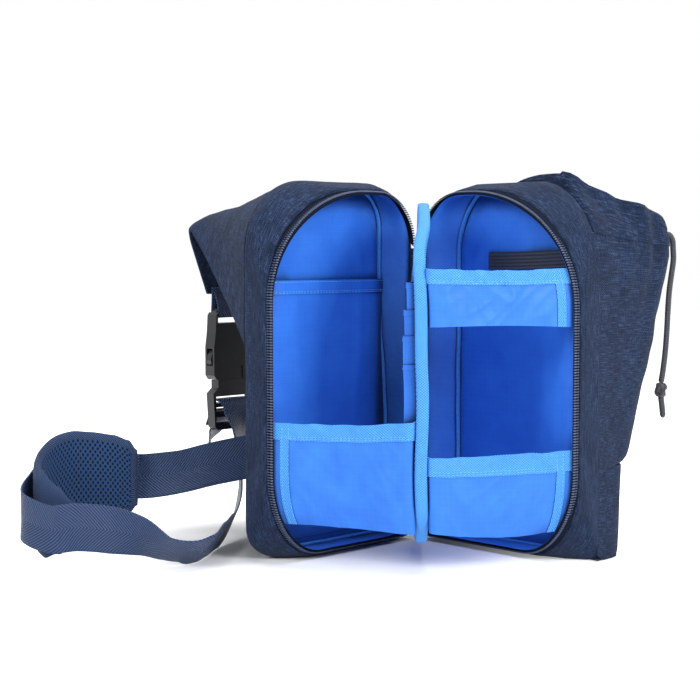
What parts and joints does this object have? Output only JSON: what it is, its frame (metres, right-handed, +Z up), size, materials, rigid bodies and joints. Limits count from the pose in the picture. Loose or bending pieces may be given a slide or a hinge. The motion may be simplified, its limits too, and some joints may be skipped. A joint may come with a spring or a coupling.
{
  "type": "clamshell camera sling bag",
  "caption": "Camera sling bag standing open like a book, with a padded divider leaf, inner bands and pockets, zipped rims, a drawstring pouch and a buckled shoulder strap with a curved pad.",
  "frame": {"origin": "middle of the footprint at floor level, measured without the drawstring", "axes": "+Z up; the front half lies along +X with its pouch towards +Y, the back half lies along -Y with its strap towards -X, and both open sides face +X -Y"},
  "size_m": [0.3818, 0.4724, 0.3283],
  "materials": {
    "heather": "heather navy polyester with a thin foam backing",
    "ripstop": "bright blue ripstop nylon lining",
    "binding": "sky blue grosgrain binding",
    "webbing": "navy seat-belt webbing",
    "black_web": "black elastic, braid and narrow webbing",
    "air_mesh": "black spacer mesh",
    "zip_tape": "woven zip tape",
    "zip_coil": "nylon coil",
    "acetal": "fine-grained black acetal",
    "alloy": "black painted zinc"
  },
  "bodies": {
    "front_half": {"front_shell": "heather", "front_lining": "ripstop", "front_seam_binding": "binding", "front_zip_tape": "zip_tape", "front_zip_coil": "zip_coil", "front_spine_leaf": "heather", "front_elastic_strap": "black_web", "pouch_base": "heather", "pouch_wall": "heather", "pouch_hem": "heather", "drawstring": "black_web", "drawstring_knot": "black_web", "drawstring_tail": "black_web", "zip_slider": "alloy", "lower_right_band": "ripstop", "lower_right_band_binding": "binding", "upper_right_band": "ripstop", "upper_right_band_binding": "binding"},
    "back_half": {"back_shell": "heather", "back_lining": "ripstop", "back_seam_binding": "binding", "back_zip_tape": "zip_tape", "back_zip_coil": "zip_coil", "back_spine_leaf": "heather", "back_slip_pocket": "ripstop", "back_pocket_binding": "binding", "shoulder_yoke": "heather", "yoke_tab": "webbing", "buckle_socket": "acetal", "buckle_plug": "acetal", "shoulder_strap": "webbing", "strap_tail": "webbing", "strap_anchor_patch": "heather", "shoulder_pad": "heather", "pad_mesh": "air_mesh", "pad_keeper_a": "black_web", "pad_keeper_b": "black_web", "lower_left_band": "ripstop", "lower_left_band_binding": "binding"},
    "divider_leaf": {"divider_board": "ripstop", "divider_binding": "binding", "card_pocket_1": "ripstop", "card_pocket_2": "ripstop", "card_pocket_3": "ripstop", "card_pocket_4": "ripstop", "divider_hinge_tape": "ripstop"},
    "prong_front": {"buckle_prong_front": "acetal"},
    "prong_spine": {"buckle_prong_spine": "acetal"},
    "zip_puller": {"zip_puller": "black_web"}
  },
  "joints": [
    {"name": "clamshell_hinge", "type": "hinge", "parent": "front_half", "child": "back_half", "pos_m": [0.0119, 0.08121, 0.1535], "axis": [0, 0, 1], "range_deg": [0, 90], "deforming": ["lower_left_band", "lower_left_band_binding", "lower_right_band", "lower_right_band_binding", "upper_right_band", "upper_right_band_binding"]},
    {"name": "divider_hinge", "type": "hinge", "parent": "front_half", "child": "divider_leaf", "pos_m": [0.0119, 0.08121, 0.1535], "axis": [0, 0, 1], "range_deg": [0, 47]},
    {"name": "prong_squeeze_front", "type": "hinge", "parent": "back_half", "child": "prong_front", "pos_m": [-0.1431, -0.02079, 0.1435], "axis": [-1, 0, 0], "range_deg": [0, 8], "stiffness_Nm_per_rad": 0.3},
    {"name": "prong_squeeze_spine", "type": "hinge", "parent": "back_half", "child": "prong_spine", "pos_m": [-0.1431, 0.00521, 0.1435], "axis": [1, 0, 0], "range_deg": [0, 8]},
    {"name": "zip_puller_swing", "type": "hinge", "parent": "front_half", "child": "zip_puller", "pos_m": [0.00912, 0.08811, 0.27157], "axis": [0, 1, 0], "range_deg": [0, 90]}
  ],
  "couplings": [
    {"joint": "divider_hinge", "follows": "clamshell_hinge", "ratio": 0.52222},
    {"joint": "prong_squeeze_spine", "follows": "prong_squeeze_front", "ratio": 1}
  ]
}
